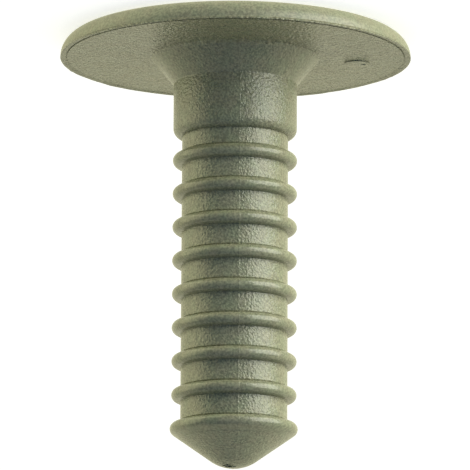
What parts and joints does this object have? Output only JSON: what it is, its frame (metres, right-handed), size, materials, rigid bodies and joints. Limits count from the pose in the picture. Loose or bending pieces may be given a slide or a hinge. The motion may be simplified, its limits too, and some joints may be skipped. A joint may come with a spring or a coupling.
{
  "type": "plastic push rivet",
  "caption": "One-piece moulded push rivet: a thin round head with a rolled rim, a short flare, a plain shoulder, a stem ringed with rounded ribs, and a blunt conical tip.",
  "frame": {"origin": "centre of the head's flat outer face, which the rivet stands on", "axes": "+Z along the rivet's axis, from the head's face to the tip; the ejector pad is on the -X side"},
  "size_m": [0.018, 0.018, 0.0223],
  "materials": {
    "moulded_plastic": "matt olive-grey nylon with a fine spark-eroded grain"
  },
  "bodies": {
    "root": {"push_rivet": "moulded_plastic"}
  },
  "joints": []
}
